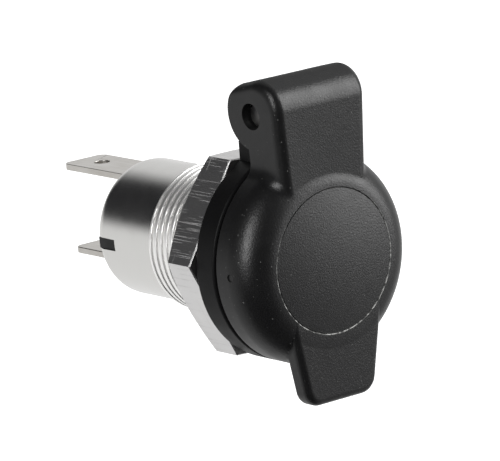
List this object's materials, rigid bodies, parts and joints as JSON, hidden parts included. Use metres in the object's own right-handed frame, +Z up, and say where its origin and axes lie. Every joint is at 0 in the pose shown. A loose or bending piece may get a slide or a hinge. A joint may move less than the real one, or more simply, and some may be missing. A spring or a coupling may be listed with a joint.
{
  "type": "car 12v power socket",
  "caption": "Panel-mount 12 V power socket with a threaded metal barrel, clamping hex nut, blade terminals and a spring-shut moulded lid on a hinge.",
  "frame": {"origin": "where the barrel's axis meets the back face of the front flange, the face that seats on the panel", "axes": "+Y to the rear through the panel, the way the nut runs off; -Y to the user; +Z up to the lid's hinge; +X to the user's right as they face the lid"},
  "size_m": [0.0272, 0.0475, 0.0392],
  "materials": {
    "barrel_metal": "satin nickel plate",
    "nut_metal": "nickel plate over milled flats",
    "flange_plastic": "black, fine moulded grain",
    "pin_steel": "dark oiled steel",
    "lid_plastic": "black, satin with a fine grain",
    "seal_rubber": "matt black",
    "spring_steel": "bright drawn wire",
    "insulator_plastic": "matt black",
    "contact_metal": "satin nickel plate on stamped sheet",
    "blade_metal": "satin nickel plate on stamped sheet",
    "tulip_metal": "turned brass"
  },
  "bodies": {
    "socket": {"barrel": "barrel_metal", "front_flange": "flange_plastic", "hinge_pin": "pin_steel", "lid_spring": "spring_steel", "insulator": "insulator_plastic", "earth_contact": "contact_metal", "positive_blade": "blade_metal", "centre_contact": "tulip_metal"},
    "lid": {"lid": "lid_plastic", "lid_seal": "seal_rubber"},
    "nut": {"hex_nut": "nut_metal"}
  },
  "joints": [
    {"name": "lid_hinge", "type": "hinge", "parent": "socket", "child": "lid", "pos_m": [0, -0.005, 0.01795], "axis": [-1, 0, 0], "range_deg": [0, 95], "stiffness_Nm_per_rad": 0.02, "springref_deg": -45.84, "deforming": ["lid_spring"]},
    {"name": "nut_travel", "type": "slide", "parent": "socket", "child": "nut", "axis": [0, 1, 0], "range_m": [0, 0.0083]}
  ]
}
